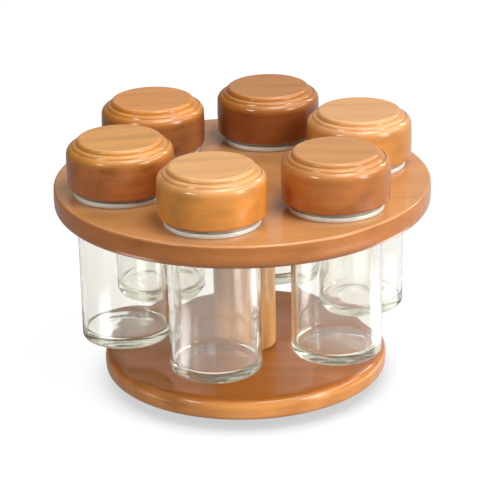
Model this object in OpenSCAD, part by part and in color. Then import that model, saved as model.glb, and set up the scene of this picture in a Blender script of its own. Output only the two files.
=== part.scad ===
// Rotating spice rack. Six glass jars with turned wooden lids hang by their collars in a wooden
// disc. A post joins it to a base disc, which turns on a ball bearing over a small foot plate.
// Millimetres, +Z up. The origin is the centre of the surface that the foot pads stand on.

/* [Jars] */
// Outside diameter of a jar's body
jar_d = 45; // [40:0.5:50]
// Space between the bodies of neighbouring jars
jar_gap = 17.5; // [14:0.5:30]
// Length of a jar below its collar
jar_drop = 76; // [50:1:120]
// Thickness of the glass wall
jar_wall = 2.2; // [1.6:0.1:3]
// Thickness of the glass floor
jar_floor = 4.4; // [3:0.1:7]
// Rounding of the jar's lower edge, outside
jar_corner = 2; // [1.5:0.1:6]
// Rounding of the jar's lower corner, inside
floor_round = 2.5; // [1.5:0.5:9]
// Width of the hollow under the jar's floor
punt_d = 32; // [24:1:34]
// Depth of the hollow under the jar's floor
punt_depth = 0.8; // [0.6:0.1:2]
// How far the collar stands out from the body
collar_ledge = 1.2; // [1:0.1:2.5]
// Height of the collar, which shows between disc and lid
collar_h = 4.3; // [4:0.1:9]
// Rounding of the collar's two beads
bead_round = 0.5; // [0.3:0.05:0.8]
// How far the upper bead is set in from the lower bead
bead_inset = 0.3; // [0.1:0.05:0.6]
// Thickness of the glass at the mouth, measured in from the body
mouth_wall = 3.3; // [2.8:0.1:4.5]
// Height over which the inside narrows to the mouth
neck_h = 2.5; // [1.5:0.1:5]

/* [Lids] */
// How far a lid stands out over the collar
lid_overhang = 3.05; // [1.5:0.05:4]
// Height of a lid above the collar
lid_h = 24.3; // [20:0.1:35]
// How far the flat top is set in from the lid's side
plateau_inset = 5.25; // [5:0.05:7]
// Rounding of the flat top's edge
plateau_round = 2; // [1:0.1:2.2]
// How far the ring moulding lies below the flat top
ring_drop = 2.3; // [1.7:0.1:2.8]
// Width of the ring moulding outside the flat top
ring_w = 2.3; // [1.9:0.1:2.8]
// Rounding of the ring moulding
ring_round = 1.9; // [1:0.1:2.2]
// How far the shoulder lies below the flat top
shoulder_drop = 2.9; // [2.7:0.1:4]
// Rounding of the shoulder
shoulder_round = 4.5; // [3.5:0.1:5]
// Width of the thin groove between ring and shoulder
line_w = 0.7; // [0.4:0.1:1.2]
// Rounding of the lid's lower edge
lid_low_round = 2; // [1:0.1:3]
// Depth of the plug that goes into the mouth
plug_depth = 8; // [7:0.5:14]
// Space between the plug and the mouth, which the seal bridges
plug_gap = 2; // [1.6:0.1:3]
// Depth of the groove that holds the seal
seal_seat = 1.4; // [0.8:0.1:2]
// Thickness of the seal's sleeve
seal_sleeve = 1.7; // [1:0.1:2.2]
// Wood left on the plug above and below the seal
seal_land = 1.2; // [0.8:0.1:2]
// Thickness of a seal rib
rib_t = 1.1; // [0.8:0.1:1.4]

/* [Discs and post] */
// Width of wood between a jar and the jar disc's edge
disc_rim = 10; // [6:0.5:25]
// Thickness of the jar disc
disc_t = 12; // [10:0.5:20]
// Rounding of the jar disc's upper edge
disc_top_round = 1.4; // [1:0.1:4]
// Rounding of the jar disc's lower edge
disc_low_round = 3.2; // [1:0.1:5]
// Diameter of the base disc
base_d = 145; // [130:1:200]
// Thickness of the base disc
base_t = 10.5; // [9:0.5:20]
// Rounding of the base disc's upper edge
base_top_round = 4.5; // [1:0.1:6]
// Rounding of the base disc's lower edge
base_low_round = 2.2; // [1:0.1:4]
// Space between the jars and the base disc
hang_gap = 14.5; // [4:0.5:60]
// Diameter of the post
post_d = 32; // [26:0.5:44]
// Rounding of the post's lower edge
post_round = 1.5; // [0.5:0.1:3]
// Diameter of the tenon on the post's top
tenon_d = 20; // [14:0.5:22]
// Wood left over the tenon in the jar disc
tenon_cover = 4; // [2.5:0.5:6]

/* [Turntable] */
// Thickness of the foot plate
foot_t = 3.5; // [3:0.5:8]
// Rounding of the foot plate's edges
foot_round = 1; // [0.5:0.1:1.4]
// Width of the foot plate outside the race plates
foot_border = 6.5; // [4:0.5:12]
// Diameter of a rubber foot pad
pad_d = 12; // [8:0.5:16]
// Height of a foot pad
pad_h = 2; // [1.5:0.1:4]
// Depth of a foot pad's seat in the foot plate
pad_seat = 0.5; // [0.3:0.1:1]
// Wood between a foot pad and the foot plate's edge
pad_edge = 3; // [2:0.5:6]
// Thickness of the race plates' steel
plate_t = 1; // [0.8:0.1:1.5]
// Diameter of a bearing ball
ball_d = 4; // [3.5:0.1:6]
// Diameter of the circle that the balls run on
ball_circle_d = 72; // [56:1:80]
// Width of the raised race round the ball groove
race_w = 6.8; // [6:0.1:9]
// How far the race is raised from its plate
race_rise = 0.6; // [0.4:0.05:0.9]
// Width of the ball cage
cage_w = 6.4; // [5.6:0.1:8]
// Thickness of the ball cage
cage_t = 1.2; // [0.8:0.1:1.6]
// Space between the race and the heads of the fixings
fixing_margin = 0.5; // [0.3:0.1:3]
// Width of steel outside the heads of the fixings
plate_edge = 1.4; // [1:0.1:4]
// Diameter of the pivot's journal
pivot_d = 6; // [5:0.1:8]
// How far the pivot's shoulder and heads stand out from its journal
pivot_lip = 2.5; // [1.5:0.1:3]
// Height of the pivot's heads
pivot_head_h = 1.2; // [0.8:0.1:1.6]
// Width of the flat dish round the pivot in the upper race plate
dish_d = 28; // [22:1:36]

/* [Fixings] */
// Diameter of a foot rivet
rivet_d = 3.2; // [2.5:0.1:4]
// Diameter of the heads of rivets and turntable screws
fixing_head_d = 6.2; // [5.5:0.1:7]
// Height of those heads
fixing_head_h = 1.2; // [0.8:0.1:1.5]
// Diameter of a turntable screw
screw_d = 3; // [2.5:0.1:4]
// Wood left over a turntable screw
screw_cover = 1.2; // [0.8:0.1:2]
// Diameter of the hole that lets a screwdriver reach the turntable screws
access_d = 9; // [7:0.5:10]
// Diameter of a post screw
post_screw_d = 4; // [3:0.1:5]
// Length of a post screw inside the post
post_screw_grip = 26; // [15:1:40]
// Distance between the two post screws
post_screw_gap = 16; // [13:0.5:18]

/* [Clearances] */
// Space round a jar in its hole
jar_play = 0.4; // [0.3:0.05:1]
// Space between the seal's ribs and the mouth
seal_play = 0.15; // [0.05:0.05:0.3]
// Space between the foot plate and the base disc
turn_gap = 1; // [0.6:0.1:2]
// Space round the race plates in the base disc's recess
recess_play = 1.5; // [1:0.1:3]
// Space between the balls and their grooves
ball_play = 0.05; // [0.02:0.01:0.1]
// Space round the pivot's journal, and above and below its plate
pivot_play = 0.05; // [0.02:0.01:0.1]
// Space round what is fixed for good: pins, pads, screws and the glued tenon
fixed_play = 0.05; // [0.02:0.01:0.1]

/* [Hidden] */
$fn = 96;
JARS = 6;
PADS = 4;
FIXINGS = 4;
BALLS = 20;
RIBS = 3;
FIRST_JAR = -90;
FIXING_TURN = 45;
ACCESS_TURN = 22.5;
SKIN = 0.2;

jar_r = jar_d / 2;
jar_circle_r = jar_d + jar_gap;
collar_r = jar_r + collar_ledge;
bead_h = collar_h / 2;
inner_r = jar_r - jar_wall;
mouth_r = jar_r - mouth_wall;
punt_r = (pow(punt_d / 2, 2) + pow(punt_depth, 2)) / (2 * punt_depth);

lid_r = collar_r + lid_overhang;
plateau_r = lid_r - plateau_inset;
ring_r = plateau_r + ring_w;
plug_r = mouth_r - plug_gap;
seal_in_r = plug_r - seal_seat;
seal_h = plug_depth - 2 * seal_land;
rib_r = mouth_r - seal_play;

disc_r = jar_circle_r + jar_r + disc_rim;
post_r = post_d / 2;
tenon_h = disc_t - tenon_cover;

ball_circle_r = ball_circle_d / 2;
race_r = ball_circle_r + race_w / 2;
fixing_r = race_r + fixing_margin + fixing_head_d / 2;
plate_r = fixing_r + fixing_head_d / 2 + plate_edge;
foot_r = plate_r + foot_border;
pad_circle_r = foot_r - pad_edge - pad_d / 2;
pivot_lip_r = pivot_d / 2 + pivot_lip;
dish_drop = pivot_head_h + 2 * pivot_play + race_rise;

foot_z = pad_h - pad_seat;
plate_z = foot_z + foot_t;
ball_z = plate_z + plate_t + ball_d / 2;
roof_z = plate_z + 2 * plate_t + ball_d;
base_z = plate_z + turn_gap;
post_z = base_z + base_t;
disc_z = post_z + hang_gap + jar_drop - disc_t;
seat_z = disc_z + disc_t;
lid_z = seat_z + collar_h;
post_h = disc_z - post_z;

WOOD = [0.74, 0.44, 0.2];
PALE_WOOD = [0.86, 0.6, 0.32];
DARK_WOOD = [0.55, 0.28, 0.13];
GLASS = [0.85, 0.92, 0.88, 0.4];
CLEAR_PLASTIC = [0.93, 0.93, 0.9];
STEEL = [0.68, 0.69, 0.7];
BRASS = [0.78, 0.62, 0.3];
CAGE_PLASTIC = [0.9, 0.88, 0.8];
RUBBER = [0.12, 0.12, 0.12];

// Copies round the axis, at one radius
module around(count, radius, first = 0) {
    for (i = [0 : count - 1])
        rotate([0, 0, first + i * 360 / count])
            translate([radius, 0, 0])
                children();
}

// Where one jar hangs: the centre of its hole, level with the top of the jar disc
module at_jar(number) {
    rotate([0, 0, FIRST_JAR + (number - 1) * 360 / JARS])
        translate([jar_circle_r, 0, seat_z])
            rotate([0, 0, -FIRST_JAR])
                children();
}

// Half outline of a turned disc or block, with its lower and upper edges rounded
module turned(r, z, h, low, high) {
    polygon([
        [0, z], [r - low, z], [r, z + low],
        [r, z + h - high], [r - high, z + h], [0, z + h]
    ]);
    if (low > 0)
        translate([r - low, z + low]) circle(low);
    if (high > 0)
        translate([r - high, z + h - high]) circle(high);
}

// Rubber pads that the rack stands on
module foot_pads() {
    color(RUBBER)
        around(PADS, pad_circle_r)
            cylinder(d = pad_d, h = pad_h);
}

// Thin round board that stays still while the rack turns
module foot_plate() {
    color(DARK_WOOD)
        difference() {
            rotate_extrude() turned(foot_r, foot_z, foot_t, foot_round, foot_round);
            around(PADS, pad_circle_r)
                translate([0, 0, foot_z - SKIN])
                    cylinder(r = pad_d / 2 + fixed_play, h = pad_seat + SKIN);
            around(FIXINGS, fixing_r, FIXING_TURN)
                rivet_hole();
            around(1, fixing_r, ACCESS_TURN)
                translate([0, 0, foot_z - SKIN])
                    cylinder(d = access_d, h = foot_t + 2 * SKIN);
            translate([0, 0, foot_z - SKIN])
                cylinder(r = pivot_lip_r + recess_play, h = foot_t + 2 * SKIN);
        }
}

// Countersunk hole for a foot rivet
module rivet_hole() {
    translate([0, 0, foot_z - SKIN])
        cylinder(r = rivet_d / 2 + fixed_play, h = foot_t + 2 * SKIN);
    translate([0, 0, foot_z - SKIN])
        cylinder(r = fixing_head_d / 2 + fixed_play, h = fixing_head_h + SKIN);
}

// Rivets: a sunk head under the foot plate and a clinched head over the lower race plate
module foot_rivets() {
    color(STEEL)
        around(FIXINGS, fixing_r, FIXING_TURN) {
            translate([0, 0, foot_z])
                cylinder(d = fixing_head_d, h = fixing_head_h - fixed_play);
            translate([0, 0, foot_z])
                cylinder(d = rivet_d, h = foot_t + plate_t + SKIN);
            translate([0, 0, plate_z + plate_t])
                cylinder(d = fixing_head_d, h = fixing_head_h / 2);
        }
}

// Half outline of a race plate lying on its flat side, before its groove is cut
module race_outline(plate_hole_r) {
    translate([plate_hole_r, 0]) square([plate_r - plate_hole_r, plate_t]);
    race_in_r = ball_circle_r - race_w / 2;
    polygon([
        [race_in_r, 0], [race_r, 0], [race_r, plate_t], [race_r - race_rise, plate_t + race_rise],
        [race_in_r + race_rise, plate_t + race_rise], [race_in_r, plate_t]
    ]);
}

// Groove that the balls run in
module ball_groove() {
    translate([ball_circle_r, ball_z])
        circle(ball_d / 2 + ball_play);
}

// Pressed steel plate that is riveted to the foot plate
module lower_race_plate() {
    color(STEEL)
        difference() {
            rotate_extrude()
                difference() {
                    translate([0, plate_z]) race_outline(pivot_d / 2 + fixed_play);
                    ball_groove();
                }
            around(FIXINGS, fixing_r, FIXING_TURN)
                translate([0, 0, plate_z - SKIN])
                    cylinder(r = rivet_d / 2 + fixed_play, h = plate_t + 2 * SKIN);
            around(1, fixing_r, ACCESS_TURN)
                translate([0, 0, plate_z - SKIN])
                    cylinder(d = access_d, h = plate_t + 2 * SKIN);
        }
}

// Pressed steel plate that is screwed to the base disc, dished down to the pivot
module upper_race_plate() {
    dish_z = roof_z - plate_t - dish_drop;
    dish_r = dish_d / 2;
    color(STEEL)
        difference() {
            rotate_extrude()
                difference() {
                    union() {
                        translate([0, roof_z]) mirror([0, 1]) race_outline(dish_r + dish_drop);
                        polygon([
                            [pivot_d / 2 + pivot_play, dish_z], [dish_r, dish_z],
                            [dish_r + dish_drop, roof_z - plate_t], [dish_r + dish_drop, roof_z],
                            [dish_r, dish_z + plate_t], [pivot_d / 2 + pivot_play, dish_z + plate_t]
                        ]);
                    }
                    ball_groove();
                }
            around(FIXINGS, fixing_r)
                translate([0, 0, roof_z - plate_t - SKIN])
                    cylinder(r = screw_d / 2 + fixed_play, h = plate_t + 2 * SKIN);
        }
}

// Shouldered rivet through both race plates, fast in the lower one
module centre_pivot() {
    dish_z = roof_z - plate_t - dish_drop;
    shoulder_z = plate_z + plate_t;
    journal_z = dish_z - pivot_play;
    head_z = dish_z + plate_t + pivot_play;
    color(BRASS) {
        translate([0, 0, plate_z - pivot_head_h])
            cylinder(r = pivot_lip_r, h = pivot_head_h);
        translate([0, 0, plate_z - SKIN])
            cylinder(d = pivot_d, h = head_z + SKIN - (plate_z - SKIN));
        translate([0, 0, shoulder_z])
            cylinder(r = pivot_lip_r, h = journal_z - shoulder_z);
        translate([0, 0, head_z])
            cylinder(r = pivot_lip_r, h = pivot_head_h);
    }
}

// Steel balls between the race plates
module bearing_balls() {
    color(STEEL)
        around(BALLS, ball_circle_r)
            translate([0, 0, ball_z])
                sphere(d = ball_d, $fn = 48);
}

// Ring that keeps the balls apart
module ball_cage() {
    color(CAGE_PLASTIC)
        difference() {
            translate([0, 0, ball_z - cage_t / 2])
                difference() {
                    cylinder(r = ball_circle_r + cage_w / 2, h = cage_t);
                    translate([0, 0, -SKIN])
                        cylinder(r = ball_circle_r - cage_w / 2, h = cage_t + 2 * SKIN);
                }
            around(BALLS, ball_circle_r)
                translate([0, 0, ball_z - cage_t])
                    cylinder(r = ball_d / 2 + 2 * ball_play, h = 2 * cage_t);
        }
}

// Pan-head screws up through the upper race plate into the base disc
module turntable_screws() {
    grip = post_z - roof_z - screw_cover;
    color(STEEL)
        around(FIXINGS, fixing_r) {
            translate([0, 0, roof_z - plate_t - fixing_head_h])
                cylinder(d = fixing_head_d, h = fixing_head_h);
            translate([0, 0, roof_z - plate_t - SKIN])
                cylinder(d = screw_d, h = plate_t + SKIN + grip);
        }
}

// Lower disc, hollowed underneath for the turntable
module base_disc() {
    color(WOOD)
        difference() {
            rotate_extrude() turned(base_d / 2, base_z, base_t, base_low_round, base_top_round);
            translate([0, 0, base_z - SKIN])
                cylinder(r = plate_r + recess_play, h = roof_z - base_z + SKIN);
            around(FIXINGS, fixing_r)
                translate([0, 0, roof_z - SKIN])
                    cylinder(r = screw_d / 2 + fixed_play, h = post_z - roof_z - screw_cover + 2 * SKIN);
            at_post_screws() {
                cylinder(r = post_screw_d / 2 + fixed_play, h = base_t);
                translate([0, 0, -SKIN])
                    cylinder(r = post_screw_d + fixed_play, h = SKIN);
                cylinder(r1 = post_screw_d + fixed_play, r2 = post_screw_d / 2 + fixed_play,
                         h = post_screw_d / 2);
            }
        }
}

// Where the two post screws start, in the roof of the base disc's recess
module at_post_screws() {
    around(2, post_screw_gap / 2)
        translate([0, 0, roof_z])
            children();
}

// Countersunk wood screws from the base disc's recess up into the post
module post_screws() {
    color(BRASS)
        at_post_screws() {
            cylinder(r1 = post_screw_d, r2 = post_screw_d / 2, h = post_screw_d / 2);
            cylinder(d = post_screw_d, h = post_z - roof_z + post_screw_grip);
        }
}

// Turned dowel between the two discs, with a tenon on top
module post() {
    color(PALE_WOOD)
        difference() {
            union() {
                rotate_extrude() turned(post_r, post_z, post_h, post_round, 0);
                translate([0, 0, disc_z - SKIN])
                    cylinder(d = tenon_d, h = tenon_h + SKIN);
            }
            around(2, post_screw_gap / 2)
                translate([0, 0, post_z - SKIN])
                    cylinder(r = post_screw_d / 2 + fixed_play, h = post_screw_grip + 2 * SKIN);
        }
}

// Upper disc with the holes that the jars hang in
module jar_disc() {
    color(WOOD)
        difference() {
            rotate_extrude() turned(disc_r, disc_z, disc_t, disc_low_round, disc_top_round);
            for (number = [1 : JARS])
                at_jar(number)
                    translate([0, 0, -disc_t - SKIN])
                        cylinder(r = jar_r + jar_play, h = disc_t + 2 * SKIN);
            translate([0, 0, disc_z - SKIN])
                cylinder(r = tenon_d / 2 + fixed_play, h = tenon_h + fixed_play + SKIN);
        }
}

// Space inside a jar, as a half outline
module jar_hollow() {
    floor_z = jar_floor - jar_drop;
    turned(inner_r, floor_z, -neck_h - floor_z, floor_round, 0);
    polygon([
        [0, -neck_h - SKIN], [inner_r, -neck_h - SKIN], [inner_r, -neck_h], [mouth_r, 0],
        [mouth_r, collar_h + SKIN], [0, collar_h + SKIN]
    ]);
}

// Straight glass jar with a collar of two beads and a hollow under its floor
module jar(number) {
    color(GLASS)
        at_jar(number)
            rotate_extrude()
                difference() {
                    union() {
                        turned(jar_r, -jar_drop, jar_drop + SKIN, jar_corner, 0);
                        turned(collar_r, 0, bead_h, bead_round, bead_round);
                        turned(collar_r - bead_inset, bead_h, bead_h, bead_round, bead_round);
                        square([jar_r, collar_h - bead_round]);
                    }
                    jar_hollow();
                    translate([0, punt_depth - jar_drop - punt_r]) circle(punt_r, $fn = 720);
                }
}

// Turned wooden lid, with a plug that carries the seal
module lid(number) {
    color(number % 2 == 0 ? WOOD : PALE_WOOD)
        at_jar(number)
            translate([0, 0, collar_h])
                rotate_extrude()
                    difference() {
                        union() {
                            turned(lid_r, 0, lid_h - shoulder_drop, lid_low_round, shoulder_round);
                            turned(ring_r, lid_low_round, lid_h - lid_low_round - ring_drop, 0, ring_round);
                            turned(plateau_r, lid_low_round, lid_h - lid_low_round, 0, plateau_round);
                            translate([0, -plug_depth]) square([plug_r, plug_depth + lid_low_round]);
                        }
                        translate([ring_r + line_w / 2, lid_h - shoulder_drop - line_w / 2]) circle(d = line_w);
                        translate([seal_in_r, seal_land - plug_depth])
                            square([plug_r - seal_in_r + SKIN, seal_h]);
                    }
}

// Soft ribbed ring round a lid's plug
module lid_seal(number) {
    sleeve_h = seal_h - 2 * fixed_play;
    rib_step = (sleeve_h - rib_t) / (RIBS - 1);
    color(CLEAR_PLASTIC)
        at_jar(number)
            translate([0, 0, collar_h + seal_land - plug_depth + fixed_play])
                rotate_extrude() {
                    translate([seal_in_r + fixed_play, 0]) square([seal_sleeve, sleeve_h]);
                    for (i = [0 : RIBS - 1])
                        translate([seal_in_r + fixed_play, i * rib_step])
                            seal_rib(rib_r - seal_in_r - fixed_play);
                }
}

// One rib of the seal, with a round edge
module seal_rib(reach) {
    square([reach - rib_t / 2, rib_t]);
    translate([reach - rib_t / 2, rib_t / 2]) circle(d = rib_t);
}

foot_pads();
foot_plate();
foot_rivets();
lower_race_plate();
centre_pivot();
bearing_balls();
ball_cage();
upper_race_plate();
turntable_screws();
base_disc();
post_screws();
post();
jar_disc();
jar(1);  // jar_1
jar(2);  // jar_2
jar(3);  // jar_3
jar(4);  // jar_4
jar(5);  // jar_5
jar(6);  // jar_6
lid(1);  // lid_1
lid(2);  // lid_2
lid(3);  // lid_3
lid(4);  // lid_4
lid(5);  // lid_5
lid(6);  // lid_6
lid_seal(1);  // lid_seal_1
lid_seal(2);  // lid_seal_2
lid_seal(3);  // lid_seal_3
lid_seal(4);  // lid_seal_4
lid_seal(5);  // lid_seal_5
lid_seal(6);  // lid_seal_6
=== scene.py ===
"""Looks of a rotating spice rack: lacquered turned wood, glass jars and a ball-bearing foot."""

import math

import bmesh
import bpy
from mathutils import Matrix, Vector


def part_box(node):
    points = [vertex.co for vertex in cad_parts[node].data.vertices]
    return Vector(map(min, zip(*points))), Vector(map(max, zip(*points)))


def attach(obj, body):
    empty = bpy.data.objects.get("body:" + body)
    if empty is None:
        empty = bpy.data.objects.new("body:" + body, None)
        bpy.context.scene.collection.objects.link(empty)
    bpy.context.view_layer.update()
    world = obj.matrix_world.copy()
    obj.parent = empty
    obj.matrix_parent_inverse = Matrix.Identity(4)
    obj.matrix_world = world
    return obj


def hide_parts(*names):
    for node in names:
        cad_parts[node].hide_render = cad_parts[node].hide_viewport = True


bl_info = {
    "name": "Rotating Spice Rack",
    "version": (1, 0, 0),
    "blender": (4, 5, 0),
    "location": "3D View > Sidebar > Spice Rack",
    "description": "Builds the finished wood, glass and metal of a rotating spice rack",
    "category": "Add Mesh",
}

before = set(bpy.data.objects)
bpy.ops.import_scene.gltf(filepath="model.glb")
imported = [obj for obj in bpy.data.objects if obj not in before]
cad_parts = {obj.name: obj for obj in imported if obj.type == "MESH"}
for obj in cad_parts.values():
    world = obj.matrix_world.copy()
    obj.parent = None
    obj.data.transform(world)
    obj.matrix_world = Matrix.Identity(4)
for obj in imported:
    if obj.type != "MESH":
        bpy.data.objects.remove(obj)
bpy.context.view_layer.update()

MM = 0.001
JARS = range(1, 7)


def low(node):
    """Lowest height of a node of the frame, in metres."""
    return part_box(node)[0].z


def high(node):
    """Highest height of a node of the frame, in metres."""
    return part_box(node)[1].z


def middle(node):
    """Centre of a node seen from above, at the height of the stand's surface."""
    lowest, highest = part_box(node)
    return Vector(((lowest.x + highest.x) / 2, (lowest.y + highest.y) / 2, 0.0))


def outer_radius(node):
    """Radius of a round node, in metres."""
    lowest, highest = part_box(node)
    return max(highest.x - lowest.x, highest.y - lowest.y) / 2


def length(name, text, value):
    """A size that a user may change, in metres."""
    return bpy.props.FloatProperty(
        name=name, description=text, default=value, min=0.0, unit="LENGTH", precision=5
    )


def colour(name, text, value):
    """A colour that a user may change."""
    return bpy.props.FloatVectorProperty(
        name=name, description=text, default=value, min=0.0, max=1.0, size=3, subtype="COLOR"
    )


def share(name, text, value, most=1.0):
    """A plain number that a user may change."""
    return bpy.props.FloatProperty(name=name, description=text, default=value, min=0.0, max=most)


def angle(name, text, degrees):
    """An angle that a user may change."""
    return bpy.props.FloatProperty(
        name=name, description=text, default=math.radians(degrees), subtype="ANGLE"
    )


class SpiceRackSizes(bpy.types.PropertyGroup):
    """Sizes of the turned profiles. The main sizes come from the frame."""

    lathe_steps: bpy.props.IntProperty(
        name="Lathe steps", description="Faces round a jar or a lid", default=112, min=24, max=256
    )
    disc_steps: bpy.props.IntProperty(
        name="Disc steps", description="Faces round a disc", default=192, min=48, max=360
    )
    plateau_inset: length("Flat top inset", "From the lid's side to its flat top", 5.25 * MM)
    plateau_round: length("Flat top rounding", "Rounding of the flat top's edge", 2.0 * MM)
    ring_drop: length("Ring drop", "From the flat top down to the ring moulding", 2.3 * MM)
    ring_width: length("Ring width", "Width of the ring moulding", 2.3 * MM)
    ring_round: length("Ring rounding", "Rounding of the ring moulding", 1.9 * MM)
    shoulder_drop: length("Shoulder drop", "From the flat top down to the shoulder", 2.9 * MM)
    shoulder_round: length("Shoulder rounding", "Rounding of the lid's shoulder", 4.5 * MM)
    line_width: length("Line width", "Width of the groove between ring and shoulder", 0.6 * MM)
    line_depth: length("Line depth", "Depth of that groove", 0.25 * MM)
    lid_low_round: length("Lid lower rounding", "Rounding of the lid's lower edge", 1.9 * MM)
    lid_bulge: length("Lid bulge", "How far the lid's side swells", 0.25 * MM)
    plug_gap: length("Plug gap", "From the mouth in to the lid's plug", 2.0 * MM)
    seal_seat: length("Seal seat", "Depth of the plug's groove for the seal", 1.4 * MM)
    seal_land: length("Seal land", "Wood above and below the seal", 1.2 * MM)
    glass_wall: length("Glass wall", "Thickness of a jar's wall", 2.2 * MM)
    glass_floor: length("Glass floor", "Thickness of a jar's floor", 4.4 * MM)
    glass_corner: length("Glass corner", "Rounding of a jar's lower edge", 2.0 * MM)
    floor_corner: length("Floor corner", "Rounding inside the jar's floor", 2.5 * MM)
    punt_depth: length("Punt depth", "Hollow under the jar's floor", 0.8 * MM)
    collar_height: length("Collar height", "Glass that shows over the disc", 4.3 * MM)
    collar_ledge: length("Collar ledge", "From the jar's body out to its collar", 1.2 * MM)
    mouth_wall: length("Mouth wall", "Glass at the mouth, in from the body", 3.3 * MM)
    disc_top_round: length("Disc upper rounding", "Upper edge of the jar disc", 1.4 * MM)
    disc_low_round: length("Disc lower rounding", "Lower edge of the jar disc", 3.2 * MM)
    base_top_round: length("Base upper rounding", "Upper edge of the base disc", 4.5 * MM)
    base_low_round: length("Base lower rounding", "Lower edge of the base disc", 2.2 * MM)
    rim_bulge: length("Rim bulge", "How far the discs' rims swell", 0.3 * MM)
    jar_play: length("Jar play", "Space round a jar in its hole", 0.4 * MM)
    hole_chamfer: length("Hole chamfer", "Broken edge of the disc's holes", 0.5 * MM)
    post_round: length("Post rounding", "Lower edge of the post", 1.5 * MM)


class SpiceRackFinishes(bpy.types.PropertyGroup):
    """Colours and gloss of the finishes."""

    # Each lid's top tone is painted light: paler and less saturated than its side, for the extra light
    # and sheen that a top catches
    lid_1_side: colour("Lid 1 side", "Golden, in front on the left", (0.735, 0.288, 0.052))
    lid_1_top: colour("Lid 1 top", "Flat top of lid 1", (0.69, 0.34, 0.112))
    lid_2_side: colour("Lid 2 side", "Honey, in front on the right", (0.50, 0.167, 0.037))
    lid_2_top: colour("Lid 2 top", "Flat top of lid 2", (0.55, 0.235, 0.06))
    lid_3_side: colour("Lid 3 side", "Straw, on the right", (0.59, 0.25, 0.052))
    lid_3_top: colour("Lid 3 top", "Flat top of lid 3", (0.68, 0.335, 0.12))
    lid_4_side: colour("Lid 4 side", "Umber, at the back", (0.255, 0.075, 0.020))
    lid_4_top: colour("Lid 4 top", "Flat top of lid 4", (0.44, 0.163, 0.022))
    lid_5_side: colour("Lid 5 side", "Chestnut, at the back on the left", (0.275, 0.101, 0.030))
    lid_5_top: colour("Lid 5 top", "Flat top of lid 5", (0.59, 0.228, 0.034))
    lid_6_side: colour("Lid 6 side", "Russet, on the left", (0.485, 0.162, 0.040))
    lid_6_top: colour("Lid 6 top", "Flat top of lid 6", (0.62, 0.275, 0.055))
    # The jar disc's top tone is painted light: paler than its rim, for the extra light and sheen that
    # the top catches
    jar_disc_side: colour("Jar disc rim", "Rim of the jar disc", (0.57, 0.202, 0.053))
    jar_disc_top: colour("Jar disc top", "Flat top of the jar disc", (0.585, 0.272, 0.094))
    # The base disc's top tone is painted shade: much darker than its rim, for the shade of the jar disc
    # above it
    base_disc_side: colour("Base disc rim", "Rim of the base disc", (0.80, 0.32, 0.085))
    base_disc_shaded_top: colour("Base disc top", "Flat top of the base disc", (0.33, 0.094, 0.011))
    post_tone: colour("Post wood", "The post", (0.74, 0.38, 0.142))
    foot_tone: colour("Foot wood", "The foot plate", (0.17, 0.075, 0.033))
    gloss: share("Lacquer", "Strength of the lacquer's shine", 0.8)
    gloss_blur: share("Lacquer blur", "Roughness of the lacquer's shine", 0.125)
    glass_tint: colour("Glass tint", "What thick glass lets through", (0.74, 0.75, 0.62))
    glass_density: share("Glass density", "How fast thick glass tints, per metre", 34.0, 100.0)
    glass_tone: colour("Glass tone", "Tone of the jars below the collar", (0.994, 0.984, 0.962))
    # The collar's white is painted highlight: a diffuse white in the glass that stands in for the
    # bright reflections of the beads and the lit seal behind them
    bead_tone: colour("Bead tone", "Colour of the collar's lower bead", (0.97, 0.96, 0.88))
    bead_highlight_white: share("Bead milk", "How white the beaded collar is", 0.68)
    # The faint white of the jars' floors and walls is painted reflection: a diffuse white that stands
    # in for the pale veil of the glass's reflections
    slab_reflection_white: share("Floor milk", "How milky the jars' thick floors are", 0.03)
    wall_reflection_white: share("Wall milk", "How milky the jars' walls are", 0.03)
    seal_tone: colour("Seal", "Soft plastic of the seals", (0.92, 0.92, 0.88))


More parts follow.
